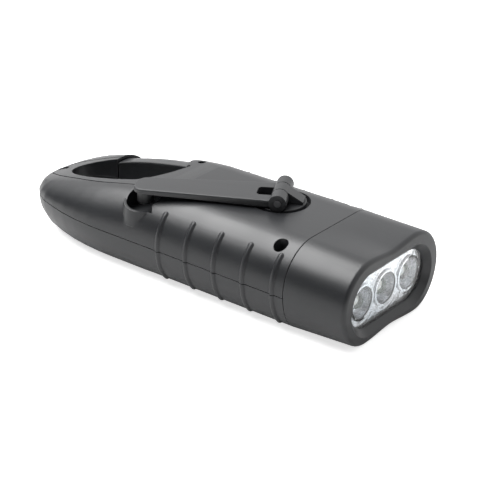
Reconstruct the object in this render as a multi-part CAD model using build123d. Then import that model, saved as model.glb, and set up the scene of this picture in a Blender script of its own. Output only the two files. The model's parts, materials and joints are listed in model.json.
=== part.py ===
from build123d import *
from math import acos, cos, degrees, pi, radians, sin, sqrt, tan
import os

os.makedirs("parts", exist_ok=True)

# ---------------------------------------------------------------------------
# Frame: millimetres, +X to the lamp, +Y to the gate side, +Z up to the crank.
# The origin is under the middle of the torch, on the surface that it rests on.
# ---------------------------------------------------------------------------

# Casing
LENGTH = 124.2                 # nose of the ring to the front of the head
BODY_WIDTH = 44.7              # without the grip ribs
BODY_HEIGHT = 24.6             # underside to deck
LOWER_ROUND = 8.0              # width of the rounding of the lower flanks
PARTING_Z = 11.4               # joint line of the two shells
HEAD_LENGTH = 19.5             # head bezel, seam to front
WALL = 2.0
SEAM_GROOVE = 0.2              # height of the shadow lines at the joints
SEAM_GROOVE_DEPTH = 0.5

# Rear ring
SEAM_TO_RING = 48.7            # where the deck ends and the ring slopes away
RING_SLOPE = 6.1               # degrees, at the start of the slope
NOSE_TOP_Z = 12.2              # top of the ring at the nose
NOSE_RADIUS = 19.4             # plan radius of the nose
RING_SIDE_RADIUS = 80.0        # plan radius of the ring's flanks
TAIL_LENGTH = 25.2             # the underside rises over this length to the nose
TAIL_LIFT = 2.6                # rise of the underside at the nose
NOSE_BAR = 8.3                 # depth of the ring at the nose
SIDE_BAR = 12.85               # width of the ring's sides
FRONT_EDGE = ((-4.8, -15.6), (-2.7, -11.2), (-0.9, -4.8))   # of the opening, from the pivot
GROOVE_WIDTH = 0.5
GROOVE_DEPTH = 0.3

# Grip ribs
RIB_COUNT = 5
RIB_PITCH = 10.0
SEAM_TO_RIB = 43.8             # seam to the rearmost rib
RIB_WIDTH = 1.9
RIB_RISE = 0.5
RIB_TOP_ANGLE = 43.0           # from straight up
RIB_END_ANGLE = 58.0           # below the widest line

# Crank
SEAM_TO_HUB = 20.4
HUB_Y = 3.3
ARM_ANGLE = 28.2               # stowed arm, from -X towards -Y
CRANK_REACH = 38.6             # hub axis to knob axis
DISC_RADIUS = 7.05
DISC_THICKNESS = 1.8
DISC_PROUD = 0.2               # disc top above the deck
DISC_GAP = 1.2                 # recess wall to disc rim
PIN_ABOVE_DECK = 2.2           # hinge pin axis
BARREL_RADIUS = 2.45
PIN_RADIUS = 1.0
BARREL_SPAN = 14.4             # over the two fork barrels
KNUCKLE_WIDTH = 4.6
TOE_HEIGHT = 0.8               # of the knuckle's toe above the disc
FORK_CLEARANCE = 0.3
ARM_THICKNESS = 2.1            # at the hinge
ARM_TIP_THICKNESS = 1.3
ARM_LIFT = 0.6                 # arm underside above the deck
ARM_HUB_WIDTH = 13.0
ARM_TIP_WIDTH = 8.8
ARM_TIP_MARGIN = 2.9           # knob axis to the end of the arm
SLOT_ROUND = 1.2
SLOT_REACH = 6.7               # hinge pin to the rear end of the slot
KNOB_RADIUS = 2.35
KNOB_LENGTH = 4.5
STUD_RADIUS = 1.2
RUNNING_CLEARANCE = 0.05
POCKET_RADIUS = 5.4
POCKET_LIP_RISE = 1.2          # rise of the lip towards the ring
POCKET_FLOOR_Z = 17.8
LIP_WIDTH = 0.7
LIP_FLARE = 0.9
KNOB_SWING_GAP = 0.3           # knob to the pocket's lip as it swings out
KNOB_TOP_GAP = 0.15
KNOB_DOME = 0.8
KNOB_SCREW_RADIUS = 1.5
ARM_TIP_ROUND = 3.3
ARM_EDGE_ROUND = 0.5

# Gate
SEAM_TO_PIVOT = 56.3
PIVOT_INSET = 10.35            # from the flank
GATE_ROOT_RADIUS = 4.4         # about the pivot, where the full bar starts
HOOK_LENGTH = 18.0             # nose to the tip of the gate
GATE_GAP = 0.4
GATE_DROP = 1.2                # gate lower than the ring, above and below
GATE_LUG_HEIGHT = 5.0
GATE_PIN_RADIUS = 1.25
GATE_PIN_BOTTOM_Z = 3.0
GATE_PIN_TOP_Z = 20.6
GATE_SHOULDER = 0.5            # pivot axis to the front end of the bar's outer part
GATE_LUG_RADIUS = 3.2
GATE_REST = 0.5                # reach of the gate's space past its inner wall
GATE_TIP_REST = 3.0            # more of it at the tip, where the opening narrows
SPRING_OUTER = 2.2
SPRING_WIRE = 0.35

# Window and lamps
WINDOW_LENGTH = 34.0
WINDOW_HEIGHT = 14.8
WINDOW_DEPTH = 1.8
FUNNEL_FLARE = 2.0
LENS_THICKNESS = 1.0
LED_PITCH = 10.9
LED_RADIUS = 2.5
BOWL_RADIUS = 4.5
BOWL_DEPTH = 5.0
REFLECTOR_RIM = 0.65
RIM_HEIGHT = 0.5
WINDOW_Z = 11.4
POCKET_GROW = 1.0              # seat of the lens beyond the window's rim
FIT_GAP = 0.1
LED_GAP = 0.1
LED_LENGTH = 4.7
BOARD_THICKNESS = 1.2
LOBE_INSET = 11.85             # highest points of the waisted front, from the flank
LOW_LOBE_INSET = 10.85
HEAD_TOP_Z = 24.1
HEAD_LOW_Z = 0.0
WAIST_DEPTH = 0.9
FRONT_ROUND = 1.2
SPIGOT_LENGTH = 1.6
SPIGOT_GAP = 0.1
SPIGOT_WALL = 1.2

# Screws
SEAM_TO_SCREW = 5.7
SCREW_INSET = 6.35             # from the flank
SCREW_HEAD_RADIUS = 1.75
SCREW_HEAD_HEIGHT = 1.3
SCREW_SHANK_RADIUS = 1.2
SCREW_RECESS_RADIUS = 1.95
SCREW_SEAT_Z = 16.5
SCREW_TIP_Z = 6.0
NOSE_TO_SCREW = 3.0
NOSE_SEAT_Z = 11.9
NOSE_RECESS_RADIUS = 1.6
NOSE_HEAD_RADIUS = 1.4
NOSE_HEAD_HEIGHT = 0.6
CROSS_WIDTH = 0.5
CROSS_DEPTH = 0.6
PILLAR_RADIUS = 3.9
SMALL_SHANK_RADIUS = 0.8

# Works
REAR_WALL = 2.0                # ring to the room for the works
RECESS_FLOOR_Z = 22.7
HUB_BOSS_RADIUS = 10.0
HUB_BOSS_Z = 21.0
BUSH_RADIUS = 4.5
BUSH_LOW_Z = 18.8
SHAFT_RADIUS = 3.0
HUB_SCREW_LENGTH = 6.0
PRESSURE_ANGLE = 20.0
TOOTH_SHARE = 0.40             # tooth thickness as a share of the pitch
TOOTH_ADDENDUM = 0.8
TOOTH_DEDENDUM = 1.15
MODULE_1 = 0.8
MODULE_2 = 0.6
MODULE_3 = 0.5
DRIVE_TEETH = 34
PINION_1_TEETH = 10
WHEEL_1_TEETH = 28
PINION_2_TEETH = 9
WHEEL_2_TEETH = 24
ROTOR_TEETH = 8
DRIVE_Z = 14.5
DRIVE_HEIGHT = 2.0
WHEEL_1_Z = 12.2
WHEEL_1_HEIGHT = 1.5
WHEEL_2_Z = 10.0
WHEEL_2_HEIGHT = 1.2
GEAR_1_HEADING = 200.0         # from the hub
GEAR_2_HEADING = 320.0         # from the first compound gear
ROTOR_HEADING = 90.0           # from the second compound gear
AXLE_RADIUS = 0.75
AXLE_SEAT = 3.0
POST_RADIUS = 1.8
POST_DROP = 0.1
POST_BORE_DEPTH = 3.0
PLATE_LOW_Z = 17.3
PLATE_TOP_Z = 18.5
PLATE_SCREW_HEAD = 0.6
SEAM_TO_PLATE = (43.0, 13.0)   # seam to the rear and front screws of the gear plate
PLATE_SCREW_Y = (-11.5, 9.5)
MAGNET_RADIUS = 4.0
MAGNET_LOW_Z = 4.5
MAGNET_TOP_Z = 9.0
COIL_INNER_RADIUS = 4.4
COIL_OUTER_RADIUS = 5.2
YOKE_RADIUS = 5.9
YOKE_LOW_Z = 4.0
YOKE_TOP_Z = 9.4
YOKE_POST_REACH = 5.0
YOKE_POST_RADIUS = 0.8
CELL_RADIUS = 5.5
SEAM_TO_CELLS = 45.5
CELL_INSET = 12.35             # from the flank
CELL_LENGTH = 16.0
CONTACT_THICKNESS = 0.6
BOARD_Z = 6.0
BOARD_LENGTH = 13.0
BOARD_WIDTH = 16.0
BOARD_MARGIN = 2.0             # board edge to its posts
SEAM_TO_BOARD = 2.5
CHIP_SIZE = 4.0
CHIP_HEIGHT = 1.2
STORE_RADIUS = 2.0
STORE_HEIGHT = 3.5
SEAM_TO_BUTTON = 9.5
BUTTON_Y = 0.0
BUTTON_RADIUS = 4.0
BUTTON_GAP = 0.3
BUTTON_FLANGE_RADIUS = 5.0
BUTTON_FACE_Z = 0.3
BUTTON_TRAVEL = 1.0
SWITCH_SIZE = 6.0

# Derived places
FRONT_X = LENGTH / 2
NOSE_X = -LENGTH / 2
SEAM_X = FRONT_X - HEAD_LENGTH
SECTION_RADIUS = BODY_HEIGHT / 2
FLAT_HALF = BODY_WIDTH / 2 - SECTION_RADIUS
DECK_Z = BODY_HEIGHT
MID_Z = BODY_HEIGHT / 2
HALF_WIDTH = BODY_WIDTH / 2
RING_START_X = SEAM_X - SEAM_TO_RING
TAIL_LIFT_X = NOSE_X + TAIL_LENGTH
OPENING_HALF = HALF_WIDTH - SIDE_BAR
RIB_FIRST_X = SEAM_X - SEAM_TO_RIB
HUB_X = SEAM_X - SEAM_TO_HUB
PIVOT_X = SEAM_X - SEAM_TO_PIVOT
PIVOT_Y = HALF_WIDTH - PIVOT_INSET
GATE_TIP_RADIUS = PIVOT_X - NOSE_X - HOOK_LENGTH
SCREW_X = SEAM_X - SEAM_TO_SCREW
SCREW_Y = HALF_WIDTH - SCREW_INSET
NOSE_SCREW_X = NOSE_X + NOSE_TO_SCREW
CAVITY_X = RING_START_X + REAR_WALL
PLATE_SCREWS = [(SEAM_X - back, y) for back in SEAM_TO_PLATE for y in PLATE_SCREW_Y]
CELL_X = SEAM_X - SEAM_TO_CELLS
CELL_Y = HALF_WIDTH - CELL_INSET
BUTTON_X = SEAM_X - SEAM_TO_BUTTON
BOARD_FRONT_X = SEAM_X - SEAM_TO_BOARD
BOARD_REAR_X = BOARD_FRONT_X - BOARD_LENGTH
DISC_TOP_Z = DECK_Z + DISC_PROUD
DISC_BOTTOM_Z = DISC_TOP_Z - DISC_THICKNESS
PIN_Z = DECK_Z + PIN_ABOVE_DECK
ARM_BOTTOM_Z = DECK_Z + ARM_LIFT
ARM_TOP_Z = ARM_BOTTOM_Z + ARM_THICKNESS
KNOB_BOTTOM_Z = ARM_BOTTOM_Z - KNOB_LENGTH
ARM_HEADING = 180 + ARM_ANGLE
KNOB_X = HUB_X + CRANK_REACH * cos(radians(ARM_HEADING))
KNOB_Y = HUB_Y + CRANK_REACH * sin(radians(ARM_HEADING))
STUD_BOTTOM_Z = KNOB_BOTTOM_Z + 1.3
LIP_Z = KNOB_BOTTOM_Z - KNOB_SWING_GAP
LENS_FRONT_X = FRONT_X - WINDOW_DEPTH
LED_BOARD_X = LENS_FRONT_X - LENS_THICKNESS - BOWL_DEPTH
HEAD_FLOOR_X = LED_BOARD_X - BOARD_THICKNESS - 2 * FIT_GAP


def step_from(x, y, distance, angle):
    """Point at a distance from another, at an angle from +X."""
    return x + distance * cos(radians(angle)), y + distance * sin(radians(angle))


REACH_1 = MODULE_1 * (DRIVE_TEETH + PINION_1_TEETH) / 2
REACH_2 = MODULE_2 * (WHEEL_1_TEETH + PINION_2_TEETH) / 2
REACH_3 = MODULE_3 * (WHEEL_2_TEETH + ROTOR_TEETH) / 2
GEAR_1_X, GEAR_1_Y = step_from(HUB_X, HUB_Y, REACH_1, GEAR_1_HEADING)
GEAR_2_X, GEAR_2_Y = step_from(GEAR_1_X, GEAR_1_Y, REACH_2, GEAR_2_HEADING)
ROTOR_X, ROTOR_Y = step_from(GEAR_2_X, GEAR_2_Y, REACH_3, ROTOR_HEADING)


def x_plane(x, z=MID_Z):
    """Plane across the torch at x: its own x runs to +Y and its own y up."""
    return Plane(origin=(x, 0, z), x_dir=(0, 1, 0), z_dir=(1, 0, 0))


def upright(x, y, radius, z_low, z_high):
    """Upright round bar between two heights."""
    return Pos(x, y, z_low) * Cylinder(radius, z_high - z_low, align=(Align.CENTER, Align.CENTER, Align.MIN))


def box_between(x0, x1, y0, y1, z0, z1):
    corner = (Align.MIN, Align.MIN, Align.MIN)
    return Pos(x0, y0, z0) * Box(x1 - x0, y1 - y0, z1 - z0, align=corner)


def stadium_bar(half_width, radius, x0, x1, z=MID_Z):
    """Bar along X with flat top and bottom and half-round sides."""
    face = x_plane(x0, z) * SlotOverall(2 * half_width, 2 * radius)
    return extrude(face, amount=x1 - x0)


def body_outline(inset=0.0):
    """Edges of the casing's section: flat deck and sole, fuller flanks below."""
    upper = SECTION_RADIUS - inset
    lower = LOWER_ROUND - inset
    level = HALF_WIDTH - inset
    deck = Line((upper - level, upper), (level - upper, upper))
    sole = Line((level - lower, -upper), (lower - level, -upper))
    high_far = CenterArc((level - upper, 0), upper, 0, 90)
    high_near = CenterArc((upper - level, 0), upper, 90, 90)
    low_far = EllipticalCenterArc((level - lower, 0), lower, upper, 270, arc_size=90)
    low_near = EllipticalCenterArc((lower - level, 0), lower, upper, 180, arc_size=90)
    return [deck, high_far, low_far, sole, low_near, high_near]


def body_bar(inset, x0, x1):
    """Bar along X with the casing's section, smaller all round by an inset."""
    return extrude(x_plane(x0) * Face(Wire(body_outline(inset))), amount=x1 - x0, dir=(1, 0, 0))


# ---------------------------------------------------------------------------
# Rear ring
# ---------------------------------------------------------------------------

def ring_top_arc():
    """Centre and radius, in side view, of the arc that the ring's top follows."""
    slope = radians(RING_SLOPE)
    down = (sin(slope), -cos(slope))
    to_end = (NOSE_X - RING_START_X, NOSE_TOP_Z - DECK_Z)
    chord_squared = to_end[0] ** 2 + to_end[1] ** 2
    along = to_end[0] * down[0] + to_end[1] * down[1]
    radius = chord_squared / (2 * along)
    return RING_START_X + radius * down[0], DECK_Z + radius * down[1], radius


def ring_top_z(x):
    centre_x, centre_z, radius = ring_top_arc()
    if x > RING_START_X:
        return DECK_Z
    return centre_z + sqrt(radius ** 2 - (x - centre_x) ** 2)


def tail_bottom_z(x):
    """Underside height: flat, then a gentle rise to the nose."""
    if x > TAIL_LIFT_X:
        return 0.0
    share = (TAIL_LIFT_X - x) / (TAIL_LIFT_X - NOSE_X)
    return TAIL_LIFT * share ** 2


NOSE_CENTRE_X = NOSE_X + NOSE_RADIUS
SIDE_ARC_X = NOSE_CENTRE_X + sqrt((RING_SIDE_RADIUS - NOSE_RADIUS) ** 2 - (RING_SIDE_RADIUS - HALF_WIDTH) ** 2)
SIDE_ARC_Y = RING_SIDE_RADIUS - HALF_WIDTH
SIDE_ARC_SWEEP = degrees(acos(SIDE_ARC_Y / (RING_SIDE_RADIUS - NOSE_RADIUS)))


def ring_station(share):
    """Point of the plan outline and its inward direction on the -Y side.

    share runs from 0 at the deck edge to 1 at the tip of the nose."""
    straight, side, nose = 0.3, 0.62, 1.0
    if share <= straight:
        x = RING_START_X + (SIDE_ARC_X - RING_START_X) * share / straight
        return x, -HALF_WIDTH, 0.0, 1.0
    if share <= side:
        turn = radians(SIDE_ARC_SWEEP * (share - straight) / (side - straight))
        inward = (sin(turn), cos(turn))
        return SIDE_ARC_X - RING_SIDE_RADIUS * inward[0], SIDE_ARC_Y - RING_SIDE_RADIUS * inward[1], *inward
    turn = radians(SIDE_ARC_SWEEP + (90 - SIDE_ARC_SWEEP) * (share - side) / (nose - side))
    inward = (sin(turn), cos(turn))
    return NOSE_CENTRE_X - NOSE_RADIUS * inward[0], -NOSE_RADIUS * inward[1], *inward


# Inset of the flat top, inset of the flat underside and height of the widest
# line of the ring, each at a share of the way from the deck edge to the nose.
RING_SHARES = (0.0, 0.3, 0.62, 0.82, 1.0)
SHOULDER_INSETS = (SECTION_RADIUS, 11.6, 10.8, 8.2, 4.0)
BELLY_INSETS = (LOWER_ROUND, 8.2, 8.4, 8.6, 8.6)
WIDEST_HEIGHTS = (MID_Z, 11.8, 11.2, 10.8, 10.6)
SECTION_COUNT = 15
SECTION_REACH = 15.5
TRIM = 0.12
INNER_SPARE = 3.0


def between(share, values):
    """Smooth value at a share of the way along the ring."""
    last = len(RING_SHARES) - 1
    index = max(i for i in range(last) if RING_SHARES[i] <= share)
    start, end = RING_SHARES[index], RING_SHARES[index + 1]
    t = (share - start) / (end - start)

    def slope(i):
        low, high = max(i - 1, 0), min(i + 1, last)
        return (values[high] - values[low]) / (RING_SHARES[high] - RING_SHARES[low])

    span = end - start
    h00 = 2 * t ** 3 - 3 * t ** 2 + 1
    h10 = t ** 3 - 2 * t ** 2 + t
    h01 = 3 * t ** 2 - 2 * t ** 3
    h11 = t ** 3 - t ** 2
    ends = h00 * values[index] + h01 * values[index + 1]
    return ends + span * (h10 * slope(index) + h11 * slope(index + 1))


def ring_section(index, side):
    """Cross-section of the ring square to its outline, on one side."""
    share = index / (SECTION_COUNT - 1)
    x, y, inward_x, inward_y = ring_station(share)
    y, inward_y = (y, inward_y) if side < 0 else (-y, -inward_y)
    shoulder = between(share, SHOULDER_INSETS)
    belly = between(share, BELLY_INSETS)
    widest = between(share, WIDEST_HEIGHTS)
    reach = SECTION_REACH
    spare = TRIM if index else 0.0
    top_z = ring_top_z(x + shoulder * inward_x) + spare
    top_z_inside = ring_top_z(x + reach * inward_x) + INNER_SPARE
    low_z = tail_bottom_z(x + belly * inward_x) - spare
    low_z_inside = tail_bottom_z(x + reach * inward_x) - INNER_SPARE
    plane = Plane(origin=(x, y, widest), x_dir=(inward_x, inward_y, 0), z_dir=(inward_y, -inward_x, 0))
    top = top_z - widest
    low = widest - low_z
    outer_top = EllipticalCenterArc((shoulder, 0), shoulder, top, 90, arc_size=90)
    outer_low = EllipticalCenterArc((belly, 0), belly, low, 180, arc_size=90)
    deck = Line((shoulder, top), (reach, top_z_inside - widest))
    wall = Line((reach, top_z_inside - widest), (reach, low_z_inside - widest))
    sole = Line((reach, low_z_inside - widest), (belly, -low))
    return plane * Face(Wire([outer_top, outer_low, sole, wall, deck]))


def ring_profile():
    """Side view of the ring, as thick as the whole torch is wide."""
    centre_x, centre_z, radius = ring_top_arc()
    middle_x = (RING_START_X + NOSE_X) / 2
    tail_x = NOSE_X - 1
    top = ThreePointArc((RING_START_X, DECK_Z), (middle_x, ring_top_z(middle_x)), (tail_x, ring_top_z(tail_x)))
    tail_mid = (TAIL_LIFT_X + NOSE_X) / 2
    sole = ThreePointArc((tail_x, TAIL_LIFT), (tail_mid, tail_bottom_z(tail_mid)), (TAIL_LIFT_X, 0))
    outline = [top, Line(top @ 1, sole @ 0), sole, Line((TAIL_LIFT_X, 0), (RING_START_X, 0)),
               Line((RING_START_X, 0), (RING_START_X, DECK_Z))]
    face = Plane.XZ * Face(Wire(outline))
    return extrude(face, amount=BODY_WIDTH, both=True)


def ring_solid():
    near = [ring_section(index, -1) for index in range(SECTION_COUNT)]
    far = [ring_section(index, 1) for index in reversed(range(SECTION_COUNT - 1))]
    hoop = loft(near + far, ruled=True)
    half = HALF_WIDTH - SECTION_REACH + 1
    throat = box_between(NOSE_X + LENGTH / 4, RING_START_X, -half, half, -1, DECK_Z + 1)
    return (hoop + throat) & ring_profile()


def ribbed_prism():
    """Middle of the casing with its grip ribs."""
    body = body_bar(0, RING_START_X, SEAM_X)
    for index in range(RIB_COUNT):
        for side in (-1, 1):
            body += grip_rib(RIB_FIRST_X + index * RIB_PITCH, side)
    return body


def grip_rib(x, side):
    """Half-round rib that follows the flank, with ball ends."""
    radius = RIB_WIDTH / 2
    proud = RIB_RISE - radius
    top = 90 - RIB_TOP_ANGLE
    high = CenterArc((HALF_WIDTH - SECTION_RADIUS, 0), SECTION_RADIUS + proud, 0, top)
    low_centre = (HALF_WIDTH - LOWER_ROUND, 0)
    low = EllipticalCenterArc(low_centre, LOWER_ROUND + proud, SECTION_RADIUS + proud, 360 - RIB_END_ANGLE,
                              arc_size=RIB_END_ANGLE)
    path = x_plane(x) * Wire([high, low])
    ends = [path @ 0, path @ 1]
    bar = sweep(Plane(origin=ends[0], z_dir=path % 0) * Circle(radius), path=path)
    for end in ends:
        bar += Pos(end.X, end.Y, end.Z) * Sphere(radius)
    return bar if side > 0 else bar.mirror(Plane.XZ)


def opening_cutter():
    """Through opening of the ring: half an ellipse that runs straight along the gate."""
    rear_x = NOSE_X + NOSE_BAR
    edge = [(PIVOT_X + dx, PIVOT_Y + dy) for dx, dy in FRONT_EDGE]
    half_length = (PIVOT_X - rear_x) / 2
    centre = (rear_x + half_length, 0)
    near = EllipticalCenterArc(centre, half_length, OPENING_HALF, 180, arc_size=125)
    rear = EllipticalCenterArc(centre, half_length, OPENING_HALF, 90, arc_size=90)
    front = Spline([near @ 1, *edge])
    corner = (edge[-1][0], OPENING_HALF)
    gate_side = Polyline(edge[-1], corner, rear @ 0)
    face = make_face(near + front + gate_side + rear)
    cutter = extrude(Pos(0, 0, -2) * face, amount=BODY_HEIGHT + 4)
    return cutter - upright(PIVOT_X, PIVOT_Y, GATE_ROOT_RADIUS - GATE_GAP, -2, BODY_HEIGHT + 2)


# Groove beside the flat of the ring: distance from the nose and from the axis.
GROOVE_POINTS = ((45.2, 11.0), (37.2, 12.0), (29.2, 12.4), (20.2, 11.0), (14.2, 9.6), (8.2, 7.6), (2.6, 4.6))


def groove_cutter():
    """Thin styling groove beside the flat of the ring, on both sides."""
    ribbons = []
    for side in (-1, 1):
        path = Spline([(NOSE_X + ahead, side * y) for ahead, y in GROOVE_POINTS])
        ribbons.append(trace(path, GROOVE_WIDTH))
    cutter = extrude(ribbons[0] + ribbons[1], amount=BODY_HEIGHT + 2)
    cutter -= Pos(0, 0, -GROOVE_DEPTH) * ring_profile()
    return cutter & box_between(NOSE_X, RING_START_X, -HALF_WIDTH, HALF_WIDTH, 0, BODY_HEIGHT + 2)


def plan_outline(inset):
    """Plan of the casing at its widest, as a face smaller all round by an inset."""
    last_x = SIDE_ARC_X - (RING_SIDE_RADIUS - inset) * sin(radians(SIDE_ARC_SWEEP))
    last_y = (RING_SIDE_RADIUS - inset) * cos(radians(SIDE_ARC_SWEEP)) - SIDE_ARC_Y
    level = HALF_WIDTH - inset
    half = radians(SIDE_ARC_SWEEP / 2)
    side_x = SIDE_ARC_X - (RING_SIDE_RADIUS - inset) * sin(half)
    side_y = (RING_SIDE_RADIUS - inset) * cos(half) - SIDE_ARC_Y
    outline = Line((SEAM_X + 1, level), (SIDE_ARC_X, level))
    outline += ThreePointArc((SIDE_ARC_X, level), (side_x, side_y), (last_x, last_y))
    outline += ThreePointArc((last_x, last_y), (NOSE_X + inset, 0), (last_x, -last_y))
    outline += ThreePointArc((last_x, -last_y), (side_x, -side_y), (SIDE_ARC_X, -level))
    outline += Line((SIDE_ARC_X, -level), (SEAM_X + 1, -level))
    outline += Line((SEAM_X + 1, -level), (SEAM_X + 1, level))
    return make_face(outline)


def seam_cutter():
    """Shadow lines round the parting line and along the head's seam."""
    half = SEAM_GROOVE / 2
    wide = HALF_WIDTH + RIB_RISE + 1
    slab = box_between(NOSE_X - 1, SEAM_X, -wide, wide, PARTING_Z - half, PARTING_Z + half)
    slab -= extrude(Pos(0, 0, PARTING_Z - 1) * plan_outline(SEAM_GROOVE_DEPTH), amount=2)
    collar = box_between(SEAM_X - SEAM_GROOVE, SEAM_X + 1, -wide, wide, -1, DECK_Z + 1)
    collar -= body_bar(SEAM_GROOVE_DEPTH, SEAM_X - 1, SEAM_X + 2)
    return slab + collar


def about_crank(angle, low_radius, high_radius, z_low, z_high, sweep):
    """Ring sector about the crank axis, from a heading through a sweep."""
    ring = upright(HUB_X, HUB_Y, high_radius, z_low, z_high) - upright(HUB_X, HUB_Y, low_radius, z_low, z_high)
    reach = 2 * high_radius
    corner = [(0, 0)]
    corner += [(reach * cos(radians(a)), reach * sin(radians(a))) for a in (angle, angle + sweep / 2, angle + sweep)]
    wedge = extrude(Pos(HUB_X, HUB_Y, z_low) * make_face(Polyline(*corner, close=True)), amount=z_high - z_low)
    return ring & wedge


def pocket_bump():
    """Flared wall round the knob pocket; its lip climbs towards the ring."""
    bottom = POCKET_FLOOR_Z - WALL
    top = LIP_Z + POCKET_LIP_RISE
    radius = POCKET_RADIUS + LIP_WIDTH
    cone = Cone(radius + LIP_FLARE, radius, top - bottom, align=(Align.CENTER, Align.CENTER, Align.MIN))
    reach = radius + LIP_FLARE + 1
    slope = Polyline((KNOB_X + reach, LIP_Z), (KNOB_X - KNOB_SWING_GAP, LIP_Z), (KNOB_X - reach, top),
                     (KNOB_X - reach, top + 5), (KNOB_X + reach, top + 5), close=True)
    above = extrude(Plane.XZ * make_face(slope), amount=BODY_WIDTH, both=True)
    return Pos(KNOB_X, KNOB_Y, bottom) * cone - above


def pocket_cutter():
    """Cup for the stowed knob and the way out of it along the knob's path."""
    cup = upright(KNOB_X, KNOB_Y, POCKET_RADIUS, POCKET_FLOOR_Z, DECK_Z + 2)
    margin = KNOB_RADIUS + KNOB_SWING_GAP
    run = about_crank(ARM_HEADING, CRANK_REACH - margin, CRANK_REACH + margin, LIP_Z, DECK_Z + 2, 40)
    return cup + run


def gate_zone(gap):
    """Space of the gate bar about its pivot; a gap widens it on every side."""
    outer = upright(PIVOT_X, PIVOT_Y, GATE_TIP_RADIUS + gap, -1, BODY_HEIGHT + 1)
    inner = upright(PIVOT_X, PIVOT_Y, GATE_ROOT_RADIUS - gap, -1, BODY_HEIGHT + 1)
    front_x = PIVOT_X - GATE_SHOULDER + gap
    bend_x = PIVOT_X - 0.6 * GATE_TIP_RADIUS
    end_x = PIVOT_X - GATE_TIP_RADIUS - 2
    inside = OPENING_HALF - GATE_REST
    side = Polyline((front_x, inside), (bend_x, inside), (end_x, inside - GATE_TIP_REST), (end_x, HALF_WIDTH + 2),
                    (front_x, HALF_WIDTH + 2), close=True)
    return (outer - inner) & extrude(Pos(0, 0, -1) * make_face(side), amount=BODY_HEIGHT + 2)


def casing_envelope():
    """Outer form of the whole casing before it is split and hollowed."""
    body = ring_solid() + ribbed_prism() + pocket_bump()
    return body - pocket_cutter()


def casing_cavity():
    """Room for the works between the ring and the head."""
    return body_bar(WALL, CAVITY_X, SEAM_X)


def gate_slot():
    half = GATE_LUG_HEIGHT / 2 + GATE_GAP / 2
    return upright(PIVOT_X, PIVOT_Y, GATE_ROOT_RADIUS, PARTING_Z - half, PARTING_Z + half)


def screw_places():
    """x, y, height of the seat and recess radius of each casing screw."""
    front = [(SCREW_X, side * SCREW_Y, SCREW_SEAT_Z, SCREW_RECESS_RADIUS) for side in (-1, 1)]
    return front + [(NOSE_SCREW_X, 0.0, NOSE_SEAT_Z, NOSE_RECESS_RADIUS)]


def casing_solid():
    """Both shells in one, with every opening that the photograph shows."""
    body = casing_envelope() - opening_cutter() - gate_zone(GATE_GAP) - gate_slot()
    body -= groove_cutter()
    body -= seam_cutter()
    cavity = casing_cavity()
    for x, y, seat, radius in screw_places()[:2]:
        cavity -= upright(x, y, PILLAR_RADIUS, 0, BODY_HEIGHT)
    cavity -= upright(HUB_X, HUB_Y, HUB_BOSS_RADIUS, HUB_BOSS_Z, BODY_HEIGHT)
    body -= cavity
    for x, y, seat, radius in screw_places():
        body -= upright(x, y, radius, seat, DECK_Z + 1)
        body -= upright(x, y, SCREW_SHANK_RADIUS, SCREW_TIP_Z, seat)
    body -= upright(PIVOT_X, PIVOT_Y, GATE_PIN_RADIUS, GATE_PIN_BOTTOM_Z, DECK_Z + 1)
    recess_radius = DISC_RADIUS + DISC_GAP
    body -= upright(HUB_X, HUB_Y, recess_radius, RECESS_FLOOR_Z, DECK_Z + 1)
    body -= upright(HUB_X, HUB_Y, BUSH_RADIUS, HUB_BOSS_Z - 1, RECESS_FLOOR_Z)
    return body


def upper_shell(casing):
    """Half above the parting line, with the posts that carry the gear plate."""
    shell = casing & box_between(NOSE_X - 1, SEAM_X + 1, -HALF_WIDTH - 2, HALF_WIDTH + 2, PARTING_Z, DECK_Z + 2)
    for x, y in PLATE_SCREWS:
        post = upright(x, y, POST_RADIUS, PLATE_TOP_Z, BODY_HEIGHT - WALL)
        shell += post
        shell -= upright(x, y, SMALL_SHANK_RADIUS, PLATE_TOP_Z, PLATE_TOP_Z + POST_BORE_DEPTH)
    return shell


def lower_shell(casing):
    """Half below the parting line, with axle posts and the button hole."""
    shell = casing & box_between(NOSE_X - 1, SEAM_X + 1, -HALF_WIDTH - 2, HALF_WIDTH + 2, -1, PARTING_Z)
    for x, y, top in ((GEAR_1_X, GEAR_1_Y, WHEEL_1_Z - POST_DROP), (GEAR_2_X, GEAR_2_Y, WHEEL_2_Z - POST_DROP)):
        shell += upright(x, y, POST_RADIUS, WALL - 0.5, top)
        shell -= upright(x, y, AXLE_RADIUS, top - AXLE_SEAT, top)
    rotor_seat = MAGNET_LOW_Z - POST_DROP
    shell += upright(ROTOR_X, ROTOR_Y, POST_RADIUS, WALL - 0.5, rotor_seat)
    shell -= upright(ROTOR_X, ROTOR_Y, AXLE_RADIUS, 1, rotor_seat)
    for side in (-1, 1):
        shell += upright(ROTOR_X + side * YOKE_POST_REACH, ROTOR_Y, YOKE_POST_RADIUS, WALL - 0.5, YOKE_LOW_Z)
    for x, y in board_posts():
        shell += upright(x, y, POST_RADIUS, WALL - 0.5, BOARD_Z)
    shell -= upright(BUTTON_X, BUTTON_Y, BUTTON_RADIUS + BUTTON_GAP, -1, WALL + 1)
    return shell


# Head ---------------------------------------------------------------------

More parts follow.
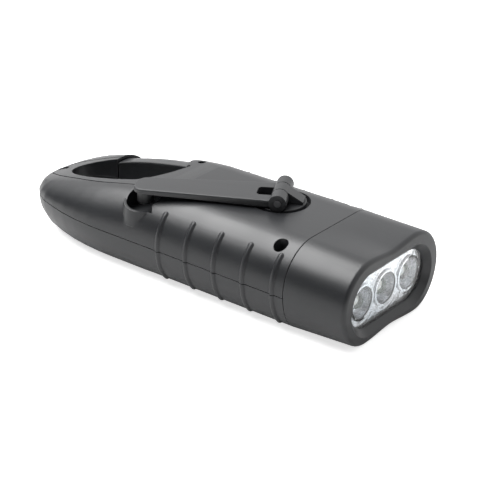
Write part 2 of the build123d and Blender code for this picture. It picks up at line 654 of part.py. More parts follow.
def front_outline():
    """Waisted outline of the front face, as edges in the face's own plane."""
    lobe_y = HALF_WIDTH - LOBE_INSET
    low_y = HALF_WIDTH - LOW_LOBE_INSET
    top = HEAD_TOP_Z - MID_Z
    low = HEAD_LOW_Z - MID_Z
    waist_top = top - WAIST_DEPTH
    waist_low = low + WAIST_DEPTH
    level = HALF_WIDTH
    waist_above = Spline([(-lobe_y, top), (0, waist_top), (lobe_y, top)], tangents=[(1, 0), (1, 0)])
    waist_below = Spline([(low_y, low), (0, waist_low), (-low_y, low)], tangents=[(-1, 0), (-1, 0)])
    right_top = EllipticalCenterArc((lobe_y, 0), level - lobe_y, top, 0, arc_size=90)
    right_low = EllipticalCenterArc((low_y, 0), level - low_y, -low, 270, arc_size=90)
    left_top = EllipticalCenterArc((-lobe_y, 0), level - lobe_y, top, 90, arc_size=90)
    left_low = EllipticalCenterArc((-low_y, 0), level - low_y, -low, 180, arc_size=90)
    return [waist_above, right_top, right_low, waist_below, left_low, left_top]


def window_bar(grow, x0, x1):
    return stadium_bar(WINDOW_LENGTH / 2 + grow, WINDOW_HEIGHT / 2 + grow, x0, x1, WINDOW_Z)


def head_bezel():
    """Head of the torch: waisted front, flared window, spigot into the casing."""
    rear = x_plane(SEAM_X) * Face(Wire(body_outline()))
    front = x_plane(FRONT_X) * Face(Wire(front_outline()))
    head = loft([rear, front], ruled=True)
    head = fillet(head.faces().sort_by(Axis.X)[-1].edges(), FRONT_ROUND)
    spigot_inset = WALL + SPIGOT_WALL
    head -= body_bar(spigot_inset, SEAM_X, HEAD_FLOOR_X)
    head -= window_bar(POCKET_GROW, HEAD_FLOOR_X - 1, LENS_FRONT_X)
    head -= window_bar(0, LENS_FRONT_X - 1, FRONT_X + 1)
    wide_size = (WINDOW_LENGTH + 2 * FUNNEL_FLARE, WINDOW_HEIGHT + 2 * FUNNEL_FLARE)
    wide = x_plane(FRONT_X + 0.01, WINDOW_Z) * SlotOverall(*wide_size)
    narrow = x_plane(LENS_FRONT_X, WINDOW_Z) * SlotOverall(WINDOW_LENGTH, WINDOW_HEIGHT)
    head -= loft([narrow, wide], ruled=True)
    spigot = body_bar(WALL + SPIGOT_GAP, SEAM_X - SPIGOT_LENGTH, SEAM_X + 1)
    bore = body_bar(spigot_inset, SEAM_X - SPIGOT_LENGTH - 1, SEAM_X + 2)
    return head + (spigot - bore)


def lens():
    return window_bar(POCKET_GROW - FIT_GAP, LENS_FRONT_X - LENS_THICKNESS, LENS_FRONT_X)


def led_centres():
    return [index * LED_PITCH for index in (-1, 0, 1)]


def reflector():
    """Moulded plate with three deep bowls, each with a raised rim."""
    front_x = LENS_FRONT_X - LENS_THICKNESS
    body = window_bar(POCKET_GROW - FIT_GAP, front_x - BOWL_DEPTH, front_x - RIM_HEIGHT)
    for y in led_centres():
        rim = x_plane(front_x - RIM_HEIGHT, WINDOW_Z) * Pos(y, 0) * Circle(BOWL_RADIUS + REFLECTOR_RIM)
        body += extrude(rim, amount=RIM_HEIGHT)
    for y in led_centres():
        body -= bowl(y, front_x)
    return body


def bowl(y, front_x):
    """Parabolic bowl that opens to the front."""
    throat = LED_RADIUS + LED_GAP
    depth = BOWL_DEPTH
    curve = Spline([(throat, -depth), (throat + 0.62 * (BOWL_RADIUS - throat), -depth / 2), (BOWL_RADIUS, 0)])
    outline = [Line((0, -depth), (throat, -depth)), curve, Line((BOWL_RADIUS, 0), (0, 0)), Line((0, 0), (0, -depth))]
    half = Face(Wire(outline))
    plane = Plane(origin=(front_x, y, WINDOW_Z), x_dir=(0, 1, 0), z_dir=(0, 0, -1))
    return revolve(plane * half, Axis((front_x, y, WINDOW_Z), (1, 0, 0)), 360)


def led(y):
    """Lamp: straight barrel and domed front, seated on the board."""
    x0 = LED_BOARD_X
    body = extrude(x_plane(x0, WINDOW_Z) * Pos(y, 0) * Circle(LED_RADIUS), amount=LED_LENGTH)
    return fillet(body.edges().sort_by(Axis.X)[-1], LED_RADIUS - 0.05)


def led_board():
    return window_bar(POCKET_GROW - FIT_GAP, LED_BOARD_X - BOARD_THICKNESS, LED_BOARD_X)


# Crank --------------------------------------------------------------------

def on_crank(shape):
    """Puts a shape drawn along +X from the hinge pin onto the stowed arm."""
    return Pos(HUB_X, HUB_Y, 0) * Rot(0, 0, ARM_HEADING) * shape


def cross_bar(radius, y0, y1):
    """Bar on the hinge pin's axis, in the arm's own frame."""
    plane = Plane(origin=(0, y0, PIN_Z), x_dir=(1, 0, 0), z_dir=(0, 1, 0))
    return extrude(plane * Circle(radius), amount=y1 - y0)


def crank_hub():
    """Disc with the hinge knuckle on top and the drive shaft below."""
    hub = upright(HUB_X, HUB_Y, DISC_RADIUS, DISC_BOTTOM_Z, DISC_TOP_Z)
    half = KNUCKLE_WIDTH / 2
    knuckle = cross_bar(BARREL_RADIUS, -half, half)
    knuckle += box_between(-BARREL_RADIUS, BARREL_RADIUS, -half, half, DISC_BOTTOM_Z, PIN_Z)
    toe_x = FORK_CLEARANCE - SLOT_REACH
    toe = Polyline((0, DISC_BOTTOM_Z), (toe_x, DISC_BOTTOM_Z), (toe_x, DISC_TOP_Z + TOE_HEIGHT),
                   (-BARREL_RADIUS / 2, PIN_Z + 0.8 * BARREL_RADIUS), (0, PIN_Z), close=True)
    knuckle += extrude(Plane.XZ * make_face(toe), amount=half, both=True)
    grooves = cross_bar(BARREL_RADIUS + FORK_CLEARANCE, half, BARREL_SPAN / 2 + 1)
    grooves += cross_bar(BARREL_RADIUS + FORK_CLEARANCE, -BARREL_SPAN / 2 - 1, -half)
    pin_bore = cross_bar(PIN_RADIUS + RUNNING_CLEARANCE, -half - 1, half + 1)
    hub = hub - on_crank(grooves) + on_crank(knuckle) - on_crank(pin_bore)
    hub += upright(HUB_X, HUB_Y, SHAFT_RADIUS, DRIVE_Z, DISC_BOTTOM_Z)
    return hub - upright(HUB_X, HUB_Y, SMALL_SHANK_RADIUS, DRIVE_Z, DRIVE_Z + HUB_SCREW_LENGTH)


def arm_outline():
    """Plan of the arm: tapered, with a blunt rounded end."""
    tip = CRANK_REACH + ARM_TIP_MARGIN
    hub_half = ARM_HUB_WIDTH / 2
    tip_half = ARM_TIP_WIDTH / 2
    corners = Polyline((0, -hub_half), (tip, -tip_half), (tip, tip_half), (0, hub_half), close=True)
    face = make_face(corners)
    ends = face.vertices().sort_by(Axis.X)[-2:]
    return fillet(ends, ARM_TIP_ROUND)


def crank_arm():
    """Flat lever: fork barrels at the hinge, slot for the knuckle, knob stud."""
    slab = extrude(Pos(0, 0, ARM_BOTTOM_Z) * arm_outline(), amount=ARM_THICKNESS)
    tip = CRANK_REACH + ARM_TIP_MARGIN
    taper = Polyline((0, ARM_BOTTOM_Z), (tip, ARM_BOTTOM_Z), (tip, ARM_BOTTOM_Z + ARM_TIP_THICKNESS),
                     (0, ARM_TOP_Z), close=True)
    slab &= extrude(Plane.XZ * make_face(taper), amount=ARM_HUB_WIDTH, both=True)
    top_edges = slab.faces().sort_by(Axis.Z)[-1].edges()
    slab = fillet(top_edges, ARM_EDGE_ROUND)
    inner = KNUCKLE_WIDTH / 2 + FORK_CLEARANCE
    outer = BARREL_SPAN / 2
    slab += cross_bar(BARREL_RADIUS, inner, outer) + cross_bar(BARREL_RADIUS, -outer, -inner)
    slot = box_between(-BARREL_RADIUS - 1, SLOT_REACH, -inner, inner, ARM_BOTTOM_Z - 3, ARM_TOP_Z + 3)
    slot = fillet(slot.edges().filter_by(Axis.Z).sort_by(Axis.X)[-2:], SLOT_ROUND)
    slab -= slot
    slab += upright(CRANK_REACH, 0, STUD_RADIUS, STUD_BOTTOM_Z, ARM_BOTTOM_Z)
    slab -= cross_bar(PIN_RADIUS, -outer - 1, outer + 1)
    return on_crank(slab)


def hinge_pin():
    return on_crank(cross_bar(PIN_RADIUS, -BARREL_SPAN / 2 - 0.15, BARREL_SPAN / 2 + 0.15))


def crank_knob():
    """Turned knob with a domed end, open below for its screw."""
    top = ARM_BOTTOM_Z - KNOB_TOP_GAP
    low = KNOB_BOTTOM_Z
    shoulder = low + KNOB_DOME
    bore = STUD_RADIUS + RUNNING_CLEARANCE
    well = KNOB_SCREW_RADIUS + 0.2
    seat = STUD_BOTTOM_Z + 0.05
    points = [(bore, top), (KNOB_RADIUS - 0.2, top), (KNOB_RADIUS, top - 0.2), (KNOB_RADIUS, shoulder)]
    upper = Polyline(*points)
    dome = ThreePointArc((KNOB_RADIUS, shoulder), (KNOB_RADIUS - 0.25, low + 0.3), (well, low))
    lower = Polyline((well, low), (well, seat), (bore, seat), (bore, top))
    face = Plane.XZ * make_face(upper + dome + lower)
    return Pos(KNOB_X, KNOB_Y, 0) * revolve(face, Axis.Z, 360)


def knob_screw():
    """Small screw that keeps the knob on the stud."""
    return upright(KNOB_X, KNOB_Y, KNOB_SCREW_RADIUS, KNOB_BOTTOM_Z + 0.2, STUD_BOTTOM_Z)


# Works --------------------------------------------------------------------

def gear_face(teeth, module):
    """Involute gear outline with thinned teeth, each flank in three steps."""
    pitch_radius = teeth * module / 2
    tip_radius = pitch_radius + TOOTH_ADDENDUM * module
    root_radius = pitch_radius - TOOTH_DEDENDUM * module
    base_radius = pitch_radius * cos(radians(PRESSURE_ANGLE))

    def involute(radius):
        if radius <= base_radius:
            return 0.0
        angle = acos(base_radius / radius)
        return tan(angle) - angle

    half_tooth = TOOTH_SHARE * pi / teeth + involute(pitch_radius)
    steps = 3
    low = max(root_radius, base_radius)
    radii = [low + (tip_radius - low) * i / steps for i in range(steps + 1)]
    flank = [(r, half_tooth - involute(r)) for r in radii]
    if root_radius < base_radius:
        flank = [(root_radius, half_tooth)] + flank
    points = []
    for tooth in range(teeth):
        middle = 2 * pi * tooth / teeth
        points += [(r * cos(middle - a), r * sin(middle - a)) for r, a in flank]
        points += [(r * cos(middle + a), r * sin(middle + a)) for r, a in reversed(flank)]
    return make_face(Polyline(*points, close=True))


def gear(x, y, z, teeth, module, height, turn, bore):
    blank = extrude(gear_face(teeth, module), amount=height)
    return Pos(x, y, z) * Rot(0, 0, turn) * (blank - upright(0, 0, bore, -1, height + 1))


def mesh_turn(line, driver_turn, driver_teeth, teeth):
    """Turn that puts a gap of the driven gear against a tooth of its driver.

    line is the heading from the driver to the driven gear."""
    along = (line - driver_turn) * driver_teeth / 360
    offset = along - round(along)
    return line + 180 + (0.5 + offset) * 360 / teeth


def drive_gear():
    return gear(HUB_X, HUB_Y, DRIVE_Z, DRIVE_TEETH, MODULE_1, DRIVE_HEIGHT, 0.0, SHAFT_RADIUS)


def compound(x, y, pinion, wheel):
    """Wheel and pinion in one, free on an axle; each is z, teeth, module, height, turn."""
    bore = AXLE_RADIUS + RUNNING_CLEARANCE
    low = min(pinion[0], wheel[0])
    high = max(pinion[0] + pinion[3], wheel[0] + wheel[3])
    body = gear(x, y, pinion[0], *pinion[1:], bore) + gear(x, y, wheel[0], *wheel[1:], bore)
    return body + (upright(x, y, POST_RADIUS - 0.5, low, high) - upright(x, y, bore, low, high))


def gear_turns():
    """Turns of the three driven gears that put them in mesh at rest."""
    turn_1 = mesh_turn(GEAR_1_HEADING, 0.0, DRIVE_TEETH, PINION_1_TEETH)
    turn_2 = mesh_turn(GEAR_2_HEADING, turn_1, WHEEL_1_TEETH, PINION_2_TEETH)
    turn_3 = mesh_turn(ROTOR_HEADING, turn_2, WHEEL_2_TEETH, ROTOR_TEETH)
    return turn_1, turn_2, turn_3


def compound_gear_1():
    turn = gear_turns()[0]
    pinion = (DRIVE_Z, PINION_1_TEETH, MODULE_1, DRIVE_HEIGHT, turn)
    wheel = (WHEEL_1_Z, WHEEL_1_TEETH, MODULE_2, WHEEL_1_HEIGHT, turn)
    return compound(GEAR_1_X, GEAR_1_Y, pinion, wheel)


def compound_gear_2():
    turn = gear_turns()[1]
    pinion = (WHEEL_1_Z, PINION_2_TEETH, MODULE_2, WHEEL_1_HEIGHT, turn)
    wheel = (WHEEL_2_Z, WHEEL_2_TEETH, MODULE_3, WHEEL_2_HEIGHT, turn)
    return compound(GEAR_2_X, GEAR_2_Y, pinion, wheel)


def rotor_pinion():
    """Pinion with the long sleeve that carries the magnet."""
    bore = AXLE_RADIUS + RUNNING_CLEARANCE
    teeth = gear(ROTOR_X, ROTOR_Y, WHEEL_2_Z, ROTOR_TEETH, MODULE_3, WHEEL_2_HEIGHT, gear_turns()[2], bore)
    sleeve = upright(ROTOR_X, ROTOR_Y, POST_RADIUS - 0.5, MAGNET_LOW_Z, WHEEL_2_Z + 0.5)
    return teeth + (sleeve - upright(ROTOR_X, ROTOR_Y, bore, MAGNET_LOW_Z - 1, WHEEL_2_Z + 1))


def magnet():
    body = upright(ROTOR_X, ROTOR_Y, MAGNET_RADIUS, MAGNET_LOW_Z, MAGNET_TOP_Z)
    return body - upright(ROTOR_X, ROTOR_Y, POST_RADIUS - 0.5, MAGNET_LOW_Z - 1, MAGNET_TOP_Z + 1)


def tube(x, y, outer, inner, z_low, z_high):
    return upright(x, y, outer, z_low, z_high) - upright(x, y, inner, z_low - 1, z_high + 1)


def axle(x, y, z_low, z_high):
    return upright(x, y, AXLE_RADIUS, z_low, z_high)


def gear_plate():
    """Plate under the upper shell that steadies the first axles."""
    xs = [x for x, y in PLATE_SCREWS]
    ys = [y for x, y in PLATE_SCREWS]
    margin = POST_RADIUS + 0.8
    plate = box_between(min(xs) - margin, max(xs) + margin, min(ys) - margin, max(ys) + margin, PLATE_LOW_Z, PLATE_TOP_Z)
    plate = fillet(plate.edges().filter_by(Axis.Z), margin)
    plate -= upright(HUB_X, HUB_Y, BUSH_RADIUS + 0.5, PLATE_LOW_Z - 1, PLATE_TOP_Z + 1)
    for x, y in ((GEAR_1_X, GEAR_1_Y), (GEAR_2_X, GEAR_2_Y)):
        plate -= upright(x, y, AXLE_RADIUS, PLATE_LOW_Z - 1, PLATE_TOP_Z + 1)
    for x, y in PLATE_SCREWS:
        plate -= upright(x, y, SMALL_SHANK_RADIUS, PLATE_LOW_Z - 1, PLATE_TOP_Z + 1)
    return plate


def plate_screw(x, y):
    """Screw driven up through the gear plate."""
    head = upright(x, y, 1.5, PLATE_LOW_Z - PLATE_SCREW_HEAD, PLATE_LOW_Z)
    return head + upright(x, y, SMALL_SHANK_RADIUS, PLATE_LOW_Z, PLATE_TOP_Z + POST_BORE_DEPTH)


def case_screw(x, y, seat, head_radius, head_height, tip):
    """Casing screw with a cross recess in its head."""
    head = upright(x, y, head_radius, seat, seat + head_height)
    long = 1.3 * head_radius
    for size_x, size_y in ((long, CROSS_WIDTH), (CROSS_WIDTH, long)):
        head -= Pos(x, y, seat + head_height) * Box(size_x, size_y, CROSS_DEPTH)
    return head + upright(x, y, SCREW_SHANK_RADIUS, tip, seat)


def hub_screw():
    """Screw and washer that hold the drive gear on the shaft."""
    washer_z = DRIVE_Z - 0.5
    body = upright(HUB_X, HUB_Y, SHAFT_RADIUS + 1.2, washer_z, DRIVE_Z)
    body += upright(HUB_X, HUB_Y, 1.8, washer_z - 0.9, washer_z)
    return body + upright(HUB_X, HUB_Y, SMALL_SHANK_RADIUS, DRIVE_Z, DRIVE_Z + HUB_SCREW_LENGTH)


def carabiner_gate():
    """Sprung bar of the snap opening, with its pivot lug."""
    ring = ring_solid()
    bar = Pos(0, 0, -GATE_DROP) * ring & Pos(0, 0, GATE_DROP) * ring
    bar = bar & gate_zone(0.0)
    bar -= opening_cutter()
    half = GATE_LUG_HEIGHT / 2
    low, high = PARTING_Z - half, PARTING_Z + half
    bar += upright(PIVOT_X, PIVOT_Y, GATE_LUG_RADIUS, low, high)
    bar += box_between(PIVOT_X - GATE_ROOT_RADIUS - 1, PIVOT_X, PIVOT_Y - 2.2, PIVOT_Y + 2.2, low, high)
    bar -= upright(PIVOT_X, PIVOT_Y, GATE_PIN_RADIUS + RUNNING_CLEARANCE, low - 1, high + 1)
    return bar - upright(PIVOT_X, PIVOT_Y, SPRING_OUTER + 0.15, PARTING_Z, high + 1)


def gate_spring():
    """Torsion spring round the gate's pin, drawn as closed turns."""
    turns = 3
    orbit = SPRING_OUTER - SPRING_WIRE
    start = PARTING_Z + SPRING_WIRE + 0.05
    coils = [Pos(PIVOT_X, PIVOT_Y, start + 1.9 * SPRING_WIRE * i) * Torus(orbit, SPRING_WIRE) for i in range(turns)]
    return coils[0] + coils[1] + coils[2]


def power_button():
    body = upright(BUTTON_X, BUTTON_Y, BUTTON_RADIUS, BUTTON_FACE_Z, WALL + 0.05)
    return body + upright(BUTTON_X, BUTTON_Y, BUTTON_FLANGE_RADIUS, WALL + 0.05, WALL + 0.85)


def switch_body():
    low = WALL + 0.85 + BUTTON_TRAVEL + 0.1
    half = SWITCH_SIZE / 2
    return box_between(BUTTON_X - half, BUTTON_X + half, BUTTON_Y - half, BUTTON_Y + half, low, BOARD_Z)


def board_posts():
    half = BOARD_WIDTH / 2 - BOARD_MARGIN
    xs = (BOARD_REAR_X + BOARD_MARGIN, BOARD_FRONT_X - BOARD_MARGIN)
    return [(x, y) for x in xs for y in (-half, half)]


def main_board():
    """Board with its charging chip and store, on four posts."""
    half = BOARD_WIDTH / 2
    top = BOARD_Z + BOARD_THICKNESS
    board = box_between(BOARD_REAR_X, BOARD_FRONT_X, -half, half, BOARD_Z, top)
    chip_x = BOARD_REAR_X + CHIP_SIZE
    chip = box_between(chip_x, chip_x + CHIP_SIZE, -CHIP_SIZE / 2, CHIP_SIZE / 2, top, top + CHIP_HEIGHT)
    store = upright(BOARD_FRONT_X - STORE_RADIUS - 1, half / 2, STORE_RADIUS, top, top + STORE_HEIGHT)
    return board + chip + store


def cell(index):
    """One of the round cells of the pack, stacked end to end along X."""
    length = CELL_LENGTH / 3
    z = WALL + CELL_RADIUS + 0.05
    plane = Plane(origin=(CELL_X + index * length, CELL_Y, z), x_dir=(0, 1, 0), z_dir=(1, 0, 0))
    body = extrude(plane * Circle(CELL_RADIUS), amount=length - 0.6)
    plane = Plane(origin=(CELL_X + (index + 1) * length - 0.6, CELL_Y, z), x_dir=(0, 1, 0), z_dir=(1, 0, 0))
    return body + extrude(plane * Circle(CELL_RADIUS * 0.7), amount=0.6)


def contact_plate(x):
    return box_between(x, x + CONTACT_THICKNESS, CELL_Y - 4, CELL_Y, WALL, WALL + 9)


def hub_bush():
    bore = SHAFT_RADIUS + RUNNING_CLEARANCE
    bush = tube(HUB_X, HUB_Y, BUSH_RADIUS, bore, BUSH_LOW_Z, RECESS_FLOOR_Z)
    return bush + tube(HUB_X, HUB_Y, BUSH_RADIUS + 1.2, BUSH_RADIUS, HUB_BOSS_Z - 1.2, HUB_BOSS_Z)


def gate_pin():
    pin = upright(PIVOT_X, PIVOT_Y, GATE_PIN_RADIUS, GATE_PIN_BOTTOM_Z, GATE_PIN_TOP_Z)
    return pin - Pos(PIVOT_X, PIVOT_Y, GATE_PIN_TOP_Z) * Box(3, 0.5, 0.8)


def write(name, shape):
    shape.label = name
    export_step(shape, f"parts/{name}.step")


casing = casing_solid()
write("upper_shell", upper_shell(casing))
write("lower_shell", lower_shell(casing))
write("head_bezel", head_bezel())
write("lens", lens())
write("reflector", reflector())
for number, led_y in enumerate(led_centres(), start=1):
    write(f"led_{number}", led(led_y))
write("led_board", led_board())
write("carabiner_gate", carabiner_gate())
write("gate_pin", gate_pin())
write("gate_spring", gate_spring())
write("crank_hub", crank_hub())
write("crank_arm", crank_arm())
write("hinge_pin", hinge_pin())
write("crank_knob", crank_knob())
write("knob_screw", knob_screw())
write("hub_bush", hub_bush())
write("hub_screw", hub_screw())
write("drive_gear", drive_gear())
write("compound_gear_1", compound_gear_1())
write("compound_gear_2", compound_gear_2())
write("rotor_pinion", rotor_pinion())
write("rotor_magnet", magnet())
write("axle_1", axle(GEAR_1_X, GEAR_1_Y, WHEEL_1_Z - POST_DROP - AXLE_SEAT, PLATE_TOP_Z))
write("axle_2", axle(GEAR_2_X, GEAR_2_Y, WHEEL_2_Z - POST_DROP - AXLE_SEAT, PLATE_TOP_Z))
write("rotor_axle", axle(ROTOR_X, ROTOR_Y, 1.0, WHEEL_2_Z + WHEEL_2_HEIGHT + 0.3))
write("gear_plate", gear_plate())
for number, place in enumerate(PLATE_SCREWS, start=1):
    write(f"plate_screw_{number}", plate_screw(*place))
write("stator_coil", tube(ROTOR_X, ROTOR_Y, COIL_OUTER_RADIUS, COIL_INNER_RADIUS, MAGNET_LOW_Z, MAGNET_TOP_Z))
write("stator_yoke", tube(ROTOR_X, ROTOR_Y, YOKE_RADIUS, COIL_OUTER_RADIUS, YOKE_LOW_Z, YOKE_TOP_Z))
write("main_board", main_board())
write("switch_body", switch_body())
write("power_button", power_button())
for number in range(3):
    write(f"cell_{number + 1}", cell(number))
write("cell_contact_front", contact_plate(CELL_X + CELL_LENGTH))
write("cell_contact_rear", contact_plate(CELL_X - CONTACT_THICKNESS))
for side, label in ((-1, "near"), (1, "far")):
    screw = case_screw(SCREW_X, side * SCREW_Y, SCREW_SEAT_Z, SCREW_HEAD_RADIUS, SCREW_HEAD_HEIGHT, SCREW_TIP_Z)
    write(f"case_screw_{label}", screw)
write("nose_screw", case_screw(NOSE_SCREW_X, 0, NOSE_SEAT_Z, NOSE_HEAD_RADIUS, NOSE_HEAD_HEIGHT, SCREW_TIP_Z))
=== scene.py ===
import json
import math

import bmesh
import bpy
from mathutils import Matrix, Vector


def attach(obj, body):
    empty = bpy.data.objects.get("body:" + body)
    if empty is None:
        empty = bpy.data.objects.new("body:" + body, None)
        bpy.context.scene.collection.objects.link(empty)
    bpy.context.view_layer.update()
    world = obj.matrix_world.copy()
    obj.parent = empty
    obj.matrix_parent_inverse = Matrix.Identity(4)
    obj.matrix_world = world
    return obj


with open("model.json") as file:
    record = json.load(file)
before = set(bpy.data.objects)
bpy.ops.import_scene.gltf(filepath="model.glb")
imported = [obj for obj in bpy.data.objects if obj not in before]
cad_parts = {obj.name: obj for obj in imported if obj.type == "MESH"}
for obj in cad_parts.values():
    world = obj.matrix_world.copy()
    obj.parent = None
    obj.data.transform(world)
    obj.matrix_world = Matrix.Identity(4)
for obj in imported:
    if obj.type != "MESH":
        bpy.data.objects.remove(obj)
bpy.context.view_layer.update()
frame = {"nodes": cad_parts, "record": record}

MM = 0.001
nodes = frame["nodes"]


# ---------------------------------------------------------------------------
# Camera: place, aim and lens of the photograph
# ---------------------------------------------------------------------------
CAMERA_PLACE = Vector((249.457, -299.977, 197.050)) * MM
CAMERA_AZIMUTH = math.radians(38.303)
CAMERA_ELEVATION = math.radians(26.209)
CAMERA_ROLL = math.radians(0.544)
CAMERA_LENS = 110.1
SENSOR_WIDTH = 36.0
NEAREST_SEEN = 20 * MM
FARTHEST_SEEN = 20.0


def make_camera():
    """Puts the camera at the photograph's viewpoint."""
    back = Vector((
        math.sin(CAMERA_AZIMUTH) * math.cos(CAMERA_ELEVATION),
        -math.cos(CAMERA_AZIMUTH) * math.cos(CAMERA_ELEVATION),
        math.sin(CAMERA_ELEVATION),
    ))
    right = (-back).cross(Vector((0, 0, 1))).normalized()
    up = right.cross(-back)
    rolled_right = right * math.cos(CAMERA_ROLL) + up * math.sin(CAMERA_ROLL)
    rolled_up = up * math.cos(CAMERA_ROLL) - right * math.sin(CAMERA_ROLL)
    camera = bpy.data.objects.new("camera", bpy.data.cameras.new("camera"))
    camera.data.lens = CAMERA_LENS
    camera.data.sensor_width = SENSOR_WIDTH
    camera.data.clip_start = NEAREST_SEEN
    camera.data.clip_end = FARTHEST_SEEN
    turn = Matrix((rolled_right, rolled_up, back)).transposed().to_4x4()
    camera.matrix_world = Matrix.Translation(CAMERA_PLACE) @ turn
    bpy.context.scene.collection.objects.link(camera)
    bpy.context.scene.camera = camera


# ---------------------------------------------------------------------------
# Node helpers
# ---------------------------------------------------------------------------
def new_material(name):
    """Empty node material with its tree and its Principled shader."""
    material = bpy.data.materials.new(name)
    material.use_nodes = True
    tree = material.node_tree
    shader = tree.nodes["Principled BSDF"]
    return material, tree, shader


def add_node(tree, kind, **inputs):
    """New node with its input sockets set by name, spaces written as underscores."""
    node = tree.nodes.new(kind)
    for key, value in inputs.items():
        node.inputs[key.replace("_", " ")].default_value = value
    return node


def connect(tree, value, socket):
    """Feeds a socket with a constant or with another node's output."""
    if hasattr(value, "links"):
        tree.links.new(value, socket)
    else:
        socket.default_value = value


def object_place(tree):
    """Place on the piece, in metres, which moves with its body."""
    return tree.nodes.new("ShaderNodeTexCoord").outputs["Object"]


def noise(tree, place, scale, detail=3.0, roughness=0.5):
    """Noise from 0 to 1, its scale in features per metre."""
    node = add_node(tree, "ShaderNodeTexNoise", Scale=scale, Detail=detail, Roughness=roughness)
    tree.links.new(place, node.inputs["Vector"])
    return node.outputs["Fac"]


def spread(tree, value, low, high, start=0.3, end=0.7):
    """Maps the part of a value between start and end onto low to high."""
    node = add_node(tree, "ShaderNodeMapRange", From_Min=start, From_Max=end, To_Min=low, To_Max=high)
    tree.links.new(value, node.inputs["Value"])
    return node.outputs["Result"]


def calculate(tree, operation, *values):
    """Math node on two or three values, each a number or the output of another node."""
    node = tree.nodes.new("ShaderNodeMath")
    node.operation = operation
    for socket, value in zip(node.inputs, values):
        connect(tree, value, socket)
    return node.outputs[0]


def dot_product(tree, first, second):
    node = tree.nodes.new("ShaderNodeVectorMath")
    node.operation = "DOT_PRODUCT"
    for socket, value in zip(node.inputs, (first, second)):
        connect(tree, value, socket)
    return node.outputs["Value"]


def blend_colours(tree, factor, first, second):
    """Goes from the first colour at 0 to the second at 1."""
    node = tree.nodes.new("ShaderNodeMix")
    node.data_type = "RGBA"
    tree.links.new(factor, node.inputs["Factor"])
    colour_inputs = [socket for socket in node.inputs if socket.type == "RGBA"]
    for socket, value in zip(colour_inputs, (first, second)):
        connect(tree, value, socket)
    return [socket for socket in node.outputs if socket.type == "RGBA"][0]


def add_bump(tree, height, distance, normal=None):
    """Normal of a relief, laid over another normal where one is given."""
    node = add_node(tree, "ShaderNodeBump", Strength=1.0, Distance=distance)
    tree.links.new(height, node.inputs["Height"])
    if normal is not None:
        tree.links.new(normal, node.inputs["Normal"])
    return node.outputs["Normal"]


def opaque(colour, share=1.0, lift=0.0):
    """The colour scaled and lifted, with the alpha that a colour socket needs."""
    return [channel * share + lift for channel in colour] + [1]


# ---------------------------------------------------------------------------
# Moulded plastic
# ---------------------------------------------------------------------------
CLOUD_SCALE = 60.0
LIGHT_CLOUD = 1.14
DARK_CLOUD = 0.90
CLOUD_SMOOTHER = 0.03
CLOUD_ROUGHER = 0.04

GRAIN_SIZE = 0.22 * MM
GRAIN_HEIGHT = 0.012 * MM
GRAIN_DETAIL = 2.0
GRAIN_ROUGHNESS = 0.6

EDGE_ROUND = 0.30 * MM
EDGE_SAMPLES = 6
EDGE_START = 0.80
EDGE_END = 0.995

# Edges are painted paler in patches, partly as worn by rubbing and partly as a painted highlight along them.
EDGE_PATCH_SCALE = 420.0
EDGE_PATCH_DETAIL = 4.0
LEAST_EDGE_LIGHTENING = 0.1
MOST_EDGE_LIGHTENING = 0.75
WORN_AND_HIGHLIT_SHARE = 2.2
WORN_AND_HIGHLIT_LIFT = 0.035

# Painted shade: creases and hollows narrower than the reach are darkened towards near black and lose most of
# their specular.
CREVICE_SHADE_REACH = 1.2 * MM
CREVICE_SHADE_SAMPLES = 8
CREVICE_SHADE_START = 0.25
CREVICE_SHADE_END = 0.85
CREVICE_SHADE_LEVEL = 0.22
CREVICE_SHADE_COLOUR = (0.003, 0.003, 0.0035)

PLASTIC_SPECULAR = 0.5
PLASTIC_IOR = 1.5


def edge_mask(tree, radius):
    """Close to 1 at edges and 0 on open faces, with the rounded normal."""
    bevel = add_node(tree, "ShaderNodeBevel", Radius=radius)
    bevel.samples = EDGE_SAMPLES
    rounded = bevel.outputs["Normal"]
    plain = tree.nodes.new("ShaderNodeNewGeometry").outputs["Normal"]
    likeness = dot_product(tree, rounded, plain)
    return spread(tree, likeness, 1.0, 0.0, EDGE_START, EDGE_END), rounded


def painted_crevice_shade(tree):
    """Painted shade: 1 on open faces, falling to the crevice shade level in creases narrower than the reach.
    """
    shade = add_node(tree, "ShaderNodeAmbientOcclusion", Distance=CREVICE_SHADE_REACH)
    shade.samples = CREVICE_SHADE_SAMPLES
    return spread(tree, shade.outputs["AO"], CREVICE_SHADE_LEVEL, 1.0, CREVICE_SHADE_START, CREVICE_SHADE_END)


def plastic_colour(tree, place, colour, cloud, rub_and_highlight_edges, free_of_painted_shade):
    """Cloudy on open faces, paler on edges where worn by rubbing and as painted highlight, and nearly black
    in creases as painted shade.
    """
    dark = opaque(colour, DARK_CLOUD)
    light = opaque(colour, LIGHT_CLOUD)
    cloudy = blend_colours(tree, spread(tree, cloud, 0.0, 1.0), dark, light)
    patches = spread(tree, noise(tree, place, EDGE_PATCH_SCALE, EDGE_PATCH_DETAIL), LEAST_EDGE_LIGHTENING, MOST_EDGE_LIGHTENING)
    # Edges lightened in patches: partly worn by rubbing, partly painted highlight.
    rub_and_highlight = calculate(tree, "MULTIPLY", rub_and_highlight_edges, patches)
    finish = blend_colours(tree, rub_and_highlight, cloudy, opaque(colour, WORN_AND_HIGHLIT_SHARE, WORN_AND_HIGHLIT_LIFT))
    # Painted shade darkens the creases towards near black.
    return blend_colours(tree, free_of_painted_shade, opaque(CREVICE_SHADE_COLOUR), finish)


